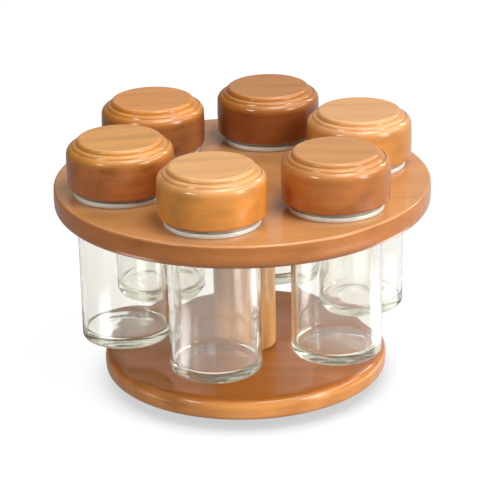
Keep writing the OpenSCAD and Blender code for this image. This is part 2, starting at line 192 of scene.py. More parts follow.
class SpiceRackStage(bpy.types.PropertyGroup):
    """Camera, lamps and backdrop."""

    camera_azimuth: angle("Camera azimuth", "Round from the front to the right", 13.43)
    camera_height: angle("Camera height", "Above level", 22.32)
    camera_roll: angle("Camera roll", "Turn about the line of sight", -1.22)
    camera_distance: length("Camera distance", "From the middle of the rack", 1.168)
    camera_lens: bpy.props.FloatProperty(
        name="Lens", description="Focal length in millimetres", default=171.3, min=20.0
    )
    middle_height: length("Middle height", "Height that the camera circles", 57.3 * MM)
    aim_rise: angle("Aim rise", "How far the line of sight is tilted up", 0.715)
    aim_swing: angle("Aim swing", "How far the line of sight is swung left", 0.083)
    sky_light: share("Sky light", "Even light from all round", 0.16, 4.0)
    front_shine: share("Front shine", "Brightness of the camera's side, as shine shows it", 0.35)
    back_shine: share("Back shine", "Brightness behind the rack, as shine shows it", 0.45)
    left_shine: share("Left shine", "Brightness of the left side, as shine shows it", 0.1)
    jar_patches: share("Jar patches", "Bright floor that the jars shine with", 5.0, 10.0)
    rim_patch: share("Rim patch", "Bright floor that the upper rim shines with", 2.5, 10.0)
    floor_shine: share("Floor shine", "Brightness of the floor, as shine shows it", 0.5)
    zenith_shine: share("Zenith shine", "Brightness overhead, as shine shows it", 10.0, 20.0)
    key_power: share("Key lamp", "Power of the lamp on the right, in watts", 4.7, 100.0)
    band_power: share("Band lamp", "Power of the long narrow lamp on the right, in watts", 4.6, 100.0)
    left_power: share("Left lamp", "Power of the lamp on the left, in watts", 2.8, 100.0)
    top_power: share("Top lamp", "Power of the wide lamp overhead, in watts", 6.9, 100.0)
    rim_power: share("Rim lamp", "Power of the lamp behind on the right, in watts", 1.2, 100.0)
    floor_lift: share("Floor lift", "How far the floor is lifted to white for the eye", 0.95)
    floor_tone: share("Floor tone", "How much of its own light the floor shows the eye", 0.10)
    floor_bounce: share("Floor bounce", "How much light the floor throws back at the rack", 0.3)
    contact_reach: length("Contact reach", "How far the soft shadow round the foot reaches", 17 * MM)
    contact_shade: share("Contact shade", "Brightness of the floor right beside the foot", 0.61)


def settings(kind):
    """One of the three groups of settings, by its name on the scene."""
    return getattr(bpy.context.scene, "spice_rack_" + kind)


def mouth_radius(number):
    """Inner radius of a jar's mouth."""
    size = settings("sizes")
    return outer_radius(f"jar_{number}") - size.collar_ledge - size.mouth_wall


# The most that one straight step of a rounding turns by, in degrees
ARC_STEP = 11
# Distance from a rounding to the point that keeps a flat run's shading flat, as a share of the rounding
GUARD = 0.3


def soften(corners, closed=False):
    """Rounds a line of (radius, height, rounding, settled) corners, where settled is painted
    shade from 0 to 1. Flat runs get a point close to each rounding, so that their shading stays flat.
    Gives (radius, height, settled) points."""
    count = len(corners)
    spots = [Vector((c[0], c[1])) for c in corners]
    reaches, turns = [], []
    for i, corner in enumerate(corners):
        rounding = corner[2]
        at_end = not closed and i in (0, count - 1)
        if rounding <= 0 or at_end:
            reaches.append(0.0)
            turns.append(0.0)
            continue
        back = (spots[i - 1] - spots[i]).normalized()
        ahead = (spots[(i + 1) % count] - spots[i]).normalized()
        turn = math.pi - back.angle(ahead)
        turns.append(turn)
        reaches.append(rounding * math.tan(turn / 2))
    line = []
    for i, corner in enumerate(corners):
        rounding = corner[2]
        settled = corner[3] if len(corner) > 3 else 0.0
        here = spots[i]
        if turns[i] <= 0:
            line.append((here.x, here.y, settled))
            continue
        back = spots[i - 1] - here
        ahead = spots[(i + 1) % count] - here
        spare_back = back.length - reaches[i] - reaches[i - 1]
        spare_ahead = ahead.length - reaches[i] - reaches[(i + 1) % count]
        back.normalize()
        ahead.normalize()
        start, end = here + back * reaches[i], here + ahead * reaches[i]
        guard = GUARD * rounding
        room = 2.5 * guard
        if spare_back > room:
            spot = start + back * guard
            line.append((spot.x, spot.y, 0.0))
        inward = (back + ahead).normalized()
        centre = here + inward * (rounding / math.cos(turns[i] / 2))
        first, last = start - centre, end - centre
        side = 1.0 if first.x * last.y - first.y * last.x > 0 else -1.0
        steps = max(2, math.ceil(math.degrees(turns[i]) / ARC_STEP))
        for k in range(steps + 1):
            swing = Matrix.Rotation(side * turns[i] * k / steps, 2)
            spot = centre + swing @ first
            line.append((spot.x, spot.y, settled))
        if spare_ahead > room:
            spot = end + ahead * guard
            line.append((spot.x, spot.y, 0.0))
    return line


def new_tree(name, sockets):
    """A Geometry Nodes tree with a mesh going in and out, and the named inputs. Gives the tree, its
    input and output nodes and a function that adds a node."""
    tree = bpy.data.node_groups.new(name, "GeometryNodeTree")
    tree.interface.new_socket("Geometry", in_out="INPUT", socket_type="NodeSocketGeometry")
    for label, kind, value in sockets:
        socket = tree.interface.new_socket(label, in_out="INPUT", socket_type=kind)
        if value is not None:
            socket.default_value = value
    tree.interface.new_socket("Geometry", in_out="OUTPUT", socket_type="NodeSocketGeometry")
    enter = tree.nodes.new("NodeGroupInput")
    leave = tree.nodes.new("NodeGroupOutput")

    def add(kind, **inputs):
        made = tree.nodes.new(kind)
        for label, value in inputs.items():
            key = int(label) if label.isdigit() else label.replace("_", " ")
            plug(tree, made.inputs[key], value)
        return made

    return tree, enter, leave, add


def plug(tree, socket, value):
    """Links a socket to another, or sets its value."""
    if isinstance(value, bpy.types.NodeSocket):
        tree.links.new(value, socket)
    else:
        socket.default_value = value


def close_tree(tree, add, leave, mesh, finish):
    """Ends a tree in Realize Instances and Set Material."""
    real = add("GeometryNodeRealizeInstances", Geometry=mesh)
    dressed = add("GeometryNodeSetMaterial", Geometry=real.outputs[0], Material=finish)
    tree.links.new(dressed.outputs[0], leave.inputs[0])


# Radius of the circle that an outline is swept along
LATHE_PATH = 50 * MM
# Points of a swept outline that are closer than this become one, in metres
SEAM = 1e-6
# The same for the points of a finished mesh
DOUBLE = 1e-7
# Edges that turn by more than this stay sharp
SHARP_EDGE = math.radians(38)


def lathe_tree():
    """Turns a half outline round the Z axis. The outline is swept along a circle of LATHE_PATH, and its
    points are given as seen from that circle."""
    tree, enter, leave, add = new_tree("Turned Piece", [
        ("Steps", "NodeSocketInt", 96),
        ("Finish", "NodeSocketMaterial", None),
    ])
    outline = add("GeometryNodeMeshToCurve", Mesh=enter.outputs["Geometry"])
    steps = enter.outputs["Steps"]
    path = add("GeometryNodeCurvePrimitiveCircle", Resolution=steps, Radius=LATHE_PATH)
    swept = add(
        "GeometryNodeCurveToMesh", Curve=path.outputs[0], Profile_Curve=outline.outputs[0]
    )
    joined = add("GeometryNodeMergeByDistance", Geometry=swept.outputs[0], Distance=SEAM)
    close_tree(tree, add, leave, joined.outputs[0], enter.outputs["Finish"])
    return tree


def ring_points(add, count, radius, first):
    """Points spread evenly on a circle about Z, and the turn that faces each of them outwards."""
    step = add("ShaderNodeMath", **{"0": 2 * math.pi, "1": count})
    step.operation = "DIVIDE"
    order = add("GeometryNodeInputIndex")
    angle_here = add("ShaderNodeMath", **{"0": order.outputs[0], "1": step.outputs[0], "2": first})
    angle_here.operation = "MULTIPLY_ADD"
    turn = add("ShaderNodeCombineXYZ", Z=angle_here.outputs[0])
    start = add("ShaderNodeCombineXYZ", X=radius)
    place = add("ShaderNodeVectorRotate", Vector=start.outputs[0], Angle=angle_here.outputs[0])
    points = add("GeometryNodePoints", Count=count, Position=place.outputs[0])
    return points.outputs[0], turn.outputs[0]


def ring_tree():
    """Sets copies of a piece out evenly on a circle, each turned to face outwards."""
    tree, enter, leave, add = new_tree("Pieces in a Ring", [
        ("Copies", "NodeSocketInt", 4),
        ("Radius", "NodeSocketFloat", 0.04),
        ("First Turn", "NodeSocketFloat", 0.0),
        ("Finish", "NodeSocketMaterial", None),
    ])
    points, facing = ring_points(
        add, enter.outputs["Copies"], enter.outputs["Radius"], enter.outputs["First Turn"]
    )
    copies = add(
        "GeometryNodeInstanceOnPoints",
        Points=points,
        Instance=enter.outputs["Geometry"],
        Rotation=facing,
    )
    close_tree(tree, add, leave, copies.outputs[0], enter.outputs["Finish"])
    return tree


def bored_tree():
    """Bores a ring of holes through a disc, with broken edges above and below."""
    tree, enter, leave, add = new_tree("Bored Disc", [
        ("Holes", "NodeSocketInt", 6),
        ("Circle", "NodeSocketFloat", 0.06),
        ("First Turn", "NodeSocketFloat", 0.0),
        ("Hole Radius", "NodeSocketFloat", 0.02),
        ("Chamfer", "NodeSocketFloat", 0.0005),
        ("Top", "NodeSocketFloat", 0.1),
        ("Bottom", "NodeSocketFloat", 0.09),
        ("Steps", "NodeSocketInt", 96),
        ("Finish", "NodeSocketMaterial", None),
    ])

    def work(operation, first, second):
        made = add("ShaderNodeMath", **{"0": first, "1": second})
        made.operation = operation
        return made.outputs[0]

    def lifted(piece, height):
        """A cutter at its height."""
        up = add("ShaderNodeCombineXYZ", Z=height)
        moved = add("GeometryNodeTransform", Geometry=piece, Translation=up.outputs[0])
        return moved.outputs[0]

    steps = enter.outputs["Steps"]
    top, bottom = enter.outputs["Top"], enter.outputs["Bottom"]
    hole, chamfer = enter.outputs["Hole Radius"], enter.outputs["Chamfer"]
    # The drill stands out as far above and below the disc as half its thickness
    thickness = work("SUBTRACT", top, bottom)
    drill = add(
        "GeometryNodeMeshCylinder", Vertices=steps, Radius=hole, Depth=work("MULTIPLY", thickness, 2.0)
    )
    cutters = [lifted(drill.outputs["Mesh"], work("MULTIPLY", work("ADD", top, bottom), 0.5))]
    # Each cone is twice the chamfer deep, with its middle on the disc's face
    depth = work("MULTIPLY", chamfer, 2.0)
    wide = work("ADD", hole, depth)
    for face, above, below in ((top, wide, hole), (bottom, hole, wide)):
        cone = add(
            "GeometryNodeMeshCone", Vertices=steps, Radius_Top=above, Radius_Bottom=below, Depth=depth
        )
        cutters.append(lifted(cone.outputs["Mesh"], work("SUBTRACT", face, chamfer)))
    points, _ = ring_points(
        add, enter.outputs["Holes"], enter.outputs["Circle"], enter.outputs["First Turn"]
    )
    bored = enter.outputs["Geometry"]
    for cutter in cutters:
        copies = add("GeometryNodeInstanceOnPoints", Points=points, Instance=cutter)
        real = add("GeometryNodeRealizeInstances", Geometry=copies.outputs[0])
        cut = add("GeometryNodeMeshBoolean")
        cut.operation = "DIFFERENCE"
        cut.solver = "EXACT"
        tree.links.new(bored, cut.inputs["Mesh 1"])
        tree.links.new(real.outputs[0], cut.inputs["Mesh 2"])
        bored = cut.outputs["Mesh"]
    close_tree(tree, add, leave, bored, enter.outputs["Finish"])
    return tree


TREES = {"lathe": lathe_tree, "ring": ring_tree, "bored": bored_tree}


def applied(thing):
    """Gives a piece the mesh that its modifier makes, and takes the modifier off."""
    bpy.context.view_layer.update()
    graph = bpy.context.evaluated_depsgraph_get()
    mesh = bpy.data.meshes.new_from_object(thing.evaluated_get(graph))
    thing.modifiers.clear()
    old = thing.data
    thing.data = mesh
    bpy.data.meshes.remove(old)
    mesh.name = thing.name


def grown(thing, kind, inputs):
    """Runs a tree on a piece, and leaves its result as a plain mesh."""
    made = bpy.data.node_groups.get("spice rack " + kind)
    if made is None:
        made = TREES[kind]()
        made.name = "spice rack " + kind
    modifier = thing.modifiers.new(kind, "NODES")
    modifier.node_group = made
    for item in made.interface.items_tree:
        if item.item_type == "SOCKET" and item.in_out == "INPUT" and item.name in inputs:
            modifier[item.identifier] = inputs[item.name]
    applied(thing)


def linked(name, data):
    """A new object in the scene that holds a mesh, a lamp or a camera."""
    thing = bpy.data.objects.new(name, data)
    bpy.context.scene.collection.objects.link(thing)
    return thing


def tidy(thing, place=Vector((0, 0, 0))):
    """Moves a mesh to its place, turns its faces outwards and smooths all but its sharp edges."""
    mesh = thing.data
    shape = bmesh.new()
    shape.from_mesh(mesh)
    bmesh.ops.remove_doubles(shape, verts=shape.verts, dist=DOUBLE)
    bmesh.ops.translate(shape, verts=shape.verts, vec=place)
    bmesh.ops.recalc_face_normals(shape, faces=shape.faces)
    shape.to_mesh(mesh)
    shape.free()
    mesh.shade_smooth()
    mesh.set_sharp_from_angle(angle=SHARP_EDGE)
    return thing


def turned(name, corners, finish, place=Vector((0, 0, 0)), steps=None, closed=False):
    """A turned piece, from the corners of its half outline in metres."""
    line = soften(corners, closed)
    count = len(line)
    edges = [(i, i + 1) for i in range(count - 1)]
    if closed:
        edges.append((count - 1, 0))
    mesh = bpy.data.meshes.new(name)
    mesh.from_pydata([(r - LATHE_PATH, -z, 0.0) for r, z, _ in line], edges, [])
    # Painted shade for creases and corners goes to the material as a point attribute
    settled = mesh.attributes.new("settled", "FLOAT", "POINT")
    settled.data.foreach_set("value", [s for _, _, s in line])
    thing = linked(name, mesh)
    grown(thing, "lathe", {"Steps": steps or settings("sizes").lathe_steps, "Finish": finish})
    return tidy(thing, place)


def placed(thing, body, slot, *nodes):
    """Gives a finished piece to its body and hides the frame's nodes that it stands for. The slot is
    not used.
    """
    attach(thing, body)
    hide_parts(*nodes)
    return thing


class Nodes:
    """The nodes of a material or of the sky, made and linked in short calls."""

    def __init__(self, tree):
        self.tree = tree
        tree.nodes.clear()

    def add(self, kind, **values):
        made = self.tree.nodes.new(kind)
        for label, value in values.items():
            setattr(made, label, value)
        return made

    def link(self, source, socket):
        self.tree.links.new(source, socket)

    def work(self, operation, first, second=0.0, clamp=False):
        """Arithmetic on two numbers."""
        made = self.add("ShaderNodeMath", operation=operation, use_clamp=clamp)
        plug(self.tree, made.inputs[0], first)
        plug(self.tree, made.inputs[1], second)
        return made.outputs[0]

    def vector(self, operation, first, second=None):
        """Arithmetic on vectors. A length and a dot product give a number."""
        made = self.add("ShaderNodeVectorMath", operation=operation)
        self.link(first, made.inputs[0])
        if second is not None:
            made.inputs[1].default_value = second
        return made.outputs["Value" if operation in ("LENGTH", "DOT_PRODUCT") else "Vector"]

    def axis(self, vector, name):
        """One of a vector's three numbers."""
        made = self.add("ShaderNodeSeparateXYZ")
        self.link(vector, made.inputs[0])
        return made.outputs[name]

    def stretch(self, where, scale):
        """Coordinates scaled by axis."""
        return self.vector("MULTIPLY", where, scale)

    def span(self, value, from_low, from_high, to_low, to_high, curve="LINEAR"):
        """A value carried from one range to another, and held inside it."""
        made = self.add("ShaderNodeMapRange", interpolation_type=curve)
        made.inputs["From Min"].default_value = from_low
        made.inputs["From Max"].default_value = from_high
        made.inputs["To Min"].default_value = to_low
        made.inputs["To Max"].default_value = to_high
        self.link(value, made.inputs["Value"])
        return made.outputs[0]

    def between(self, amount, first, second):
        """Two numbers mixed by an amount."""
        made = self.add("ShaderNodeMix")
        plug(self.tree, made.inputs[0], amount)
        plug(self.tree, made.inputs[2], first)
        plug(self.tree, made.inputs[3], second)
        return made.outputs[0]


class Shader(Nodes):
    """A material's nodes, round its principled shader."""

    def __init__(self, name):
        self.material = bpy.data.materials.new(name)
        self.material.use_nodes = True
        super().__init__(self.material.node_tree)
        self.out = self.add("ShaderNodeOutputMaterial")
        self.body = self.add("ShaderNodeBsdfPrincipled")
        self.link(self.body.outputs[0], self.out.inputs["Surface"])

    def set(self, **values):
        """Plain values straight on the shader's own sockets."""
        for label, value in values.items():
            self.body.inputs[label.replace("_", " ")].default_value = value

    def place(self, centre=(0, 0, 0), turn=(0, 0, 0)):
        """Object coordinates as seen from a centre and a turn."""
        where = self.add("ShaderNodeTexCoord")
        seen = self.add("ShaderNodeMapping", vector_type="TEXTURE")
        seen.inputs["Location"].default_value = centre
        seen.inputs["Rotation"].default_value = turn
        self.link(where.outputs["Object"], seen.inputs["Vector"])
        return seen.outputs[0]

    def noise(self, where, scale, detail, rough=0.5):
        """A noise value of about 0 to 1."""
        made = self.add("ShaderNodeTexNoise", noise_dimensions="3D")
        made.inputs["Scale"].default_value = scale
        made.inputs["Detail"].default_value = detail
        made.inputs["Roughness"].default_value = rough
        self.link(where, made.inputs["Vector"])
        return made.outputs["Fac"]

    def ramp(self, value, stops):
        """A colour ramp through (place, colour) stops."""
        made = self.add("ShaderNodeValToRGB")
        points = made.color_ramp.elements
        while len(points) < len(stops):
            points.new(0.5)
        for point, (spot, tone) in zip(points, stops):
            point.position = spot
            point.color = (*tone, 1.0)
        self.link(value, made.inputs[0])
        return made.outputs["Color"]

    def mix(self, kind, amount, first, second):
        """Two colours mixed by an amount."""
        made = self.add("ShaderNodeMix", data_type="RGBA", blend_type=kind)
        plug(self.tree, made.inputs[0], amount)
        plug(self.tree, made.inputs[6], first)
        plug(self.tree, made.inputs[7], second)
        return made.outputs[2]

    def bump(self, height, distance, strength):
        """Fine relief on the surface."""
        made = self.add("ShaderNodeBump")
        made.inputs["Strength"].default_value = strength
        made.inputs["Distance"].default_value = distance
        self.link(height, made.inputs["Height"])
        self.link(made.outputs[0], self.body.inputs["Normal"])


def shade(tone, factor):
    """A colour made darker or lighter."""
    return tuple(min(1.0, part * factor) for part in tone)


def solid(tone):
    """A colour with full opacity, as a colour socket takes it."""
    return (*tone, 1.0)


def grey(value):
    """A grey with full opacity."""
    return (value, value, value, 1.0)


# Turn of the grain where a board has none of its own, in degrees
GRAIN_TURN = 13.43
# Distance between growth rings
RING_SPACING = 13.1 * MM
# The dark lines of the grain, as shares of the wood's tone
DARK_GRAIN = (0.634, 0.568, 0.475)
# The paler stops of the grain: place on the ramp, and how much lighter than the tone
PALE_GRAIN = ((0.42, -0.07), (0.62, 0.05), (0.92, 0.28))
# What darkens the wood in its pores and on its end grain, and the painted shade in its creases and
# corners
PORE_TONE = (0.55, 0.40, 0.28)
END_TONE = (0.70, 0.58, 0.48)
CREASE_SHADE_TONE = (0.48, 0.34, 0.26)


def grain_stops(tone, depth=1.0):
    """Stops of a colour ramp from the grain's dark lines to its pale ones. Less depth evens them."""
    dark = tuple(part * (1 + depth * (line - 1)) for part, line in zip(tone, DARK_GRAIN))
    pale = [(place, shade(tone, 1 + depth * step)) for place, step in PALE_GRAIN]
    return [(0.12, dark), *pale]


def wood(
    name, tone, centre=(0, 0, 0), turn=GRAIN_TURN, pith=(0.0, -0.07, -0.06), figure=1.0,
    top=None, lit_crown=None, upright=False,
):
    """Lacquered hardwood. The grain runs along X after the turn, or along Z in an upright piece, and
    growth rings circle the pith. The top tone is painted light and shade for faces that look up, and
    for all above the lit crown, which is a pair of heights that the painted tone changes between: paler
    where a top catches more light and sheen, darker where it lies in shade."""
    finish = settings("finishes")
    made = Shader(name)
    swing = math.pi / 2 if upright else math.radians(turn)
    seen = made.place(centre, (0, swing, 0) if upright else (0, 0, swing))

    def drawn_out(along, across, detail, rough=0.5):
        """Noise drawn out along the grain, by its scales along and across it."""
        return made.noise(made.stretch(seen, (along, across, across)), 1, detail, rough)

    from_pith = made.vector("LENGTH", made.stretch(made.vector("SUBTRACT", seen, pith), (0.06, 1, 1)))
    for sway, reach in ((made.noise(seen, 16, 2), 22 * MM), (drawn_out(40, 120, 2), 1.2 * MM)):
        from_pith = made.work("ADD", from_pith, made.work("MULTIPLY", sway, reach))
    rings = made.work("SINE", made.work("MULTIPLY", from_pith, 2 * math.pi / RING_SPACING))
    fibre = drawn_out(70, 1500, 3, 0.6)
    streak = drawn_out(9, 190, 3, 0.55)
    blotch = drawn_out(15, 52, 1)
    pores = drawn_out(160, 2300, 2)

    # The figure is quieter on the end grain, which is darker too
    normal = made.add("ShaderNodeTexCoord").outputs["Normal"]
    turned_normal = made.add("ShaderNodeVectorRotate", invert=True)
    turned_normal.rotation_type = "Y_AXIS" if upright else "Z_AXIS"
    turned_normal.inputs["Angle"].default_value = swing
    made.link(normal, turned_normal.inputs["Vector"])
    end_grain = made.work("ABSOLUTE", made.axis(turned_normal.outputs[0], "X"))
    end_grain = made.work("POWER", end_grain, 2.0)
    quiet = made.span(end_grain, 0.1, 0.8, 1.0, 0.35)

    value = made.work("MULTIPLY", rings, 0.16 * figure)
    for part, amount in ((streak, 0.9), (fibre, 0.22), (blotch, 0.7)):
        centred = made.work("SUBTRACT", part, 0.5)
        value = made.work("ADD", value, made.work("MULTIPLY", centred, amount * figure))
    value = made.work("ADD", made.work("MULTIPLY", value, quiet), 0.5, clamp=True)
    colours = made.ramp(value, grain_stops(tone))
    if top is not None:
        # Painted light and shade: faces that look up, and all above the lit crown, take the top tone
        lit_share = made.span(made.axis(normal, "Z"), 0.35, 0.97, 0.0, 1.0)
        if lit_crown is not None:
            above = made.span(made.axis(seen, "Z"), *lit_crown, 0.0, 1.0)
            lit_share = made.work("MAXIMUM", lit_share, above)
        colours = made.mix("MIX", lit_share, colours, made.ramp(value, grain_stops(top, 0.4)))
    pore_mask = made.span(pores, 0.60, 0.70, 0.0, 0.16)
    # Painted shade darkens the wood in creases and corners, by the turned piece's point attribute
    settled = made.add("ShaderNodeAttribute", attribute_name="settled").outputs["Fac"]
    for amount, dark in (
        (pore_mask, PORE_TONE),
        (made.work("MULTIPLY", end_grain, 0.4), END_TONE),
        (made.work("MULTIPLY", settled, 0.75, clamp=True), CREASE_SHADE_TONE),
    ):
        colours = made.mix("MULTIPLY", amount, colours, solid(dark))
    made.link(colours, made.body.inputs["Base Color"])
    made.link(made.span(fibre, 0.2, 0.8, 0.30, 0.42), made.body.inputs["Roughness"])
    relief = made.work("SUBTRACT", made.work("MULTIPLY", fibre, 0.5), pore_mask)
    relief = made.work("ADD", relief, made.work("MULTIPLY", made.noise(seen, 260, 1), 0.8))
    made.bump(relief, 0.06 * MM, 0.5)
    made.set(
        Coat_Weight=finish.gloss, Coat_Roughness=finish.gloss_blur, Coat_IOR=1.4,
        IOR=1.5, Specular_IOR_Level=0.10,
    )
    return made.material


# The upper bead of a jar's collar, against the lower one: darker with painted shade under the lid, and
# with less of the painted white
UPPER_BEAD_PAINTED_SHADE = 0.7
UPPER_BEAD_HIGHLIGHT = 0.3
# What a jar lets through of a lamp's light
LAMP_PASS = (0.88, 0.90, 0.89)


def glass():
    """Clear glass, a little wavy and green where it is thick. A diffuse white is painted into it:
    strong at the collar as painted highlight, faint in the walls and floor as painted reflection, and
    the upper bead is darkened with painted shade. Lamps shine through it, and its shadow stays pale."""
    finish, size = settings("finishes"), settings("sizes")
    made = Shader("jar glass")
    made.set(Roughness=0.03, IOR=1.5, Specular_IOR_Level=0.8)
    seen = made.place()
    level = made.axis(seen, "Z")
    seat = high("jar_disc")
    collar = made.span(level, seat - 0.3 * MM, seat + 0.1 * MM, 0.0, 1.0)
    # The upper of the collar's two beads is darker with painted shade from the lid, and clearer with
    # less painted white than the lower one
    groove = seat + size.collar_height / 2
    upper = made.span(level, groove - 0.2 * MM, groove + 0.3 * MM, 0.0, 1.0)
    upper_highlight = UPPER_BEAD_HIGHLIGHT * finish.bead_highlight_white
    bead = made.work("MULTIPLY", collar, made.span(upper, 0.0, 1.0, finish.bead_highlight_white, upper_highlight))
    upper_tone = shade(finish.bead_tone, UPPER_BEAD_PAINTED_SHADE)
    bead_tone = made.mix("MIX", upper, solid(finish.bead_tone), solid(upper_tone))
    tone = made.mix("MIX", collar, solid(finish.glass_tone), bead_tone)
    made.link(tone, made.body.inputs["Base Color"])
    slab_top = low("jar_1") + size.glass_floor
    # The faint white of the floor and walls is painted reflection, and the collar's white is painted
    # highlight
    painted_white = made.span(level, slab_top, slab_top + 0.5 * MM, finish.slab_reflection_white, finish.wall_reflection_white)
    painted_white = made.work("MAXIMUM", bead, painted_white)
    made.link(made.work("SUBTRACT", 1.0, painted_white), made.body.inputs["Transmission Weight"])
    waves = made.noise(made.stretch(seen, (1, 1, 0.55)), 62, 1)
    ripple = made.noise(seen, 190, 1)
    height = made.work("ADD", waves, made.work("MULTIPLY", ripple, 0.12))
    made.bump(height, 0.5 * MM, 0.5)
    path = made.add("ShaderNodeLightPath")
    clear = made.add("ShaderNodeBsdfTransparent")
    clear.inputs[0].default_value = solid(LAMP_PASS)
    blend = made.add("ShaderNodeMixShader")
    made.link(path.outputs["Is Shadow Ray"], blend.inputs[0])
    made.link(made.body.outputs[0], blend.inputs[1])
    made.link(clear.outputs[0], blend.inputs[2])
    made.link(blend.outputs[0], made.out.inputs["Surface"])
    thick = made.add("ShaderNodeVolumeAbsorption")
    thick.inputs["Color"].default_value = solid(finish.glass_tint)
    thick.inputs["Density"].default_value = finish.glass_density
    made.link(thick.outputs[0], made.out.inputs["Volume"])
    return made.material


def metal(name, tone, rough, brushed=0.0):
    """Plated or polished metal, with faint marks round the axis."""
    made = Shader(name)
    seen = made.place()
    marks = made.noise(made.stretch(seen, (900, 900, 260)), 1, 3)
    cloud = made.noise(seen, 70, 2)
    worn = made.work("ADD", made.work("MULTIPLY", marks, 0.4), made.work("MULTIPLY", cloud, 0.6))
    colours = made.ramp(worn, [(0.3, shade(tone, 0.86)), (0.7, shade(tone, 1.08))])
    made.link(colours, made.body.inputs["Base Color"])
    made.link(made.span(marks, 0.3, 0.7, rough * 0.8, rough * 1.3), made.body.inputs["Roughness"])
    made.set(Metallic=1.0)
    if brushed > 0:
        made.bump(marks, 0.02 * MM, brushed)
    return made.material


def plain(name, tone, rough, see_through=0.0):
    """Moulded plastic or rubber, with a faint bloom."""
    made = Shader(name)
    seen = made.place()
    cloud = made.noise(seen, 90, 2)
    colours = made.ramp(cloud, [(0.3, shade(tone, 0.88)), (0.7, shade(tone, 1.07))])
    made.link(colours, made.body.inputs["Base Color"])
    grain = made.noise(seen, 1400, 2)
    made.link(made.span(grain, 0.3, 0.7, rough * 0.9, rough * 1.15), made.body.inputs["Roughness"])
    made.bump(grain, 0.03 * MM, 0.5)
    made.set(Subsurface_Weight=see_through, Subsurface_Scale=2 * MM, IOR=1.48)
    return made.material


# Rounding of the swell half way up a disc's rim, and of the swell on a lid's side
RIM_ROUND = 20 * MM
SWELL_ROUND = 40 * MM
# How dark the painted shade makes a deep crease and a shallow one, from 0 to 1
DEEP_CREASE_SHADE = 0.5
SHALLOW_CREASE_SHADE = 0.1
# How far the ring moulding's round runs down before it meets the groove
RING_SWEEP = math.radians(60)
# Each lid's turn of the grain, in degrees, and how strong its figure is
LID_GRAINS = {1: (22, 1.1), 2: (4, 1.0), 3: (16, 0.9), 4: (12, 0.9), 5: (20, 1.4), 6: (24, 1.6)}


class SPICE_RACK_OT_discs(bpy.types.Operator):
    """Makes the jar disc with its holes, the base disc and the post"""

    bl_idname = "spice_rack.discs"
    bl_label = "Discs and Post"

    def execute(self, context):
        size, finish = settings("sizes"), settings("finishes")
        # The jar disc's paler top tone is painted light and sheen
        self.jar_disc(size, wood(
            "jar disc wood", finish.jar_disc_side, turn=20, pith=(0, -0.11, -0.02), figure=0.8,
            top=finish.jar_disc_top,
        ))
        # The base disc's dark top tone is painted shade from the jar disc above
        self.base_disc(size, wood(
            "base disc wood", finish.base_disc_side, turn=8, pith=(0, 0.16, -0.05), figure=1.0,
            top=finish.base_disc_shaded_top,
        ))
        self.post(size, finish)
        return {"FINISHED"}

    def jar_disc(self, size, finish):
        top, bottom, rim = high("jar_disc"), low("jar_disc"), outer_radius("jar_disc")
        waist = rim - size.rim_bulge
        blank = turned("jar_disc_turned", [
            (0, bottom, 0),
            (waist, bottom, size.disc_low_round),
            (rim, (top + bottom) / 2, RIM_ROUND),
            (waist, top, size.disc_top_round),
            (0, top, 0),
        ], finish, steps=size.disc_steps)
        grown(blank, "bored", {
            "Holes": len(JARS),
            "Circle": middle("jar_1").length,
            "First Turn": -math.pi / 2,
            "Hole Radius": outer_radius("jar_1") - size.collar_ledge + size.jar_play,
            "Chamfer": size.hole_chamfer,
            "Top": top,
            "Bottom": bottom,
            "Steps": size.lathe_steps,
            "Finish": finish,
        })
        placed(tidy(blank), "rack", "disc_wood", "jar_disc")

    def base_disc(self, size, finish):
        top, bottom, rim = high("base_disc"), low("base_disc"), outer_radius("base_disc")
        # The turntable sits in a shallow recess from below
        roof = high("upper_race_plate")
        recess = outer_radius("upper_race_plate") + 1.5 * MM
        waist = rim - size.rim_bulge
        disc = turned("base_disc_turned", [
            (0, roof, 0),
            (recess, roof, 0.4 * MM),
            (recess, bottom, 0.4 * MM),
            (waist, bottom, size.base_low_round),
            (rim, (top + bottom) / 2, RIM_ROUND),
            (waist, top, size.base_top_round),
            (0, top, 0),
        ], finish, steps=size.disc_steps)
        placed(disc, "rack", "disc_wood", "base_disc")

    def post(self, size, finish):
        bottom, top = low("post"), high("post")
        shoulder = low("jar_disc")
        radius, tenon = outer_radius("post"), 10 * MM
        # A dowel's grain runs up and down
        stuff = wood(
            "post wood", finish.post_tone, pith=(0.0, -0.03, -0.02), figure=0.8, upright=True
        )
        post = turned("post_turned", [
            (0, bottom, 0),
            (radius, bottom, size.post_round),
            (radius, shoulder, 0.3 * MM),
            (tenon, shoulder, 0.3 * MM),
            (tenon, top, 0.8 * MM),
            (0, top, 0),
        ], stuff)
        placed(post, "rack", "post_wood", "post")


